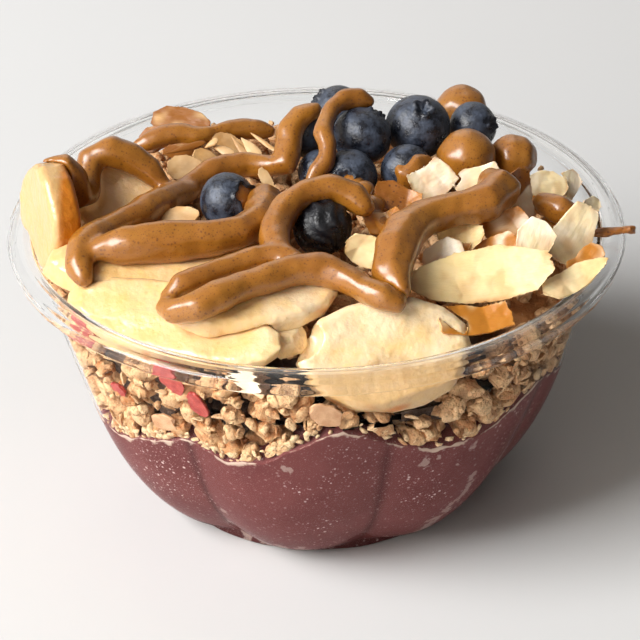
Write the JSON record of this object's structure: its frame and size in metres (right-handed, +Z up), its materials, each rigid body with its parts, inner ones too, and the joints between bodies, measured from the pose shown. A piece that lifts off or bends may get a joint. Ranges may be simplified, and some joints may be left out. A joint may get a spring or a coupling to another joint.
{
  "type": "acai bowl",
  "caption": "Clear lobed takeaway bowl filled with acai and granola, topped with banana slices, blueberries, coconut chips, almond flakes and ropes of nut butter.",
  "frame": {"origin": "centre of the bowl's flat underside", "axes": "+Z up, -Y towards the front, +X to the right seen from the front"},
  "size_m": [0.1857, 0.1844, 0.1159],
  "materials": {
    "clear_plastic": "clear, glossy",
    "acai": "frozen fruit blend, satin",
    "granola": "baked oat clusters, rough",
    "banana": "moist cut fruit",
    "blueberry": "waxy bloom, satin",
    "coconut": "thin dry chips",
    "almond": "dry flaked nut",
    "nut_butter": "thick glossy paste",
    "red_fruit": "dried fruit",
    "honey": "clear amber syrup, glossy"
  },
  "bodies": {
    "root": {"bowl": "clear_plastic", "acai": "acai", "granola": "granola", "banana_upright": "banana", "banana_back": "banana", "banana_upper": "banana", "banana_lower": "banana", "banana_middle": "banana", "banana_end": "banana", "banana_front": "banana", "blueberry_left": "blueberry", "blueberry_dark": "blueberry", "blueberry_far": "blueberry", "blueberry_high": "blueberry", "blueberry_big": "blueberry", "blueberry_right": "blueberry", "blueberry_behind": "blueberry", "blueberry_low": "blueberry", "blueberry_crown": "blueberry", "blueberry_tucked": "blueberry", "blueberry_coated": "blueberry", "blueberry_edge": "blueberry", "blueberry_capped": "blueberry", "coconut_square": "coconut", "coconut_dipped": "coconut", "coconut_ridge": "coconut", "coconut_tall": "coconut", "coconut_hidden": "coconut", "coconut_back": "coconut", "coconut_rim": "coconut", "coconut_big": "coconut", "coconut_fork": "coconut", "coconut_toasted": "coconut", "coconut_amber": "coconut", "coconut_curl": "coconut", "coconut_glazed": "coconut", "coconut_pale": "coconut", "coconut_long": "coconut", "coconut_slip": "coconut", "coconut_front": "coconut", "coconut_side": "coconut", "coconut_stub": "coconut", "coconut_white": "coconut", "coconut_splinter": "coconut", "coconut_stick": "coconut", "almond_large": "almond", "almond_left": "almond", "almond_edge": "almond", "almond_pale": "almond", "almond_chip": "almond", "almond_stack": "almond", "almond_sliver": "almond", "almond_slip": "almond", "nut_butter_left": "nut_butter", "nut_butter_back": "nut_butter", "nut_butter_front": "nut_butter", "nut_butter_right": "nut_butter", "nut_butter_berries": "nut_butter", "nut_butter_side": "nut_butter"}
  },
  "joints": []
}
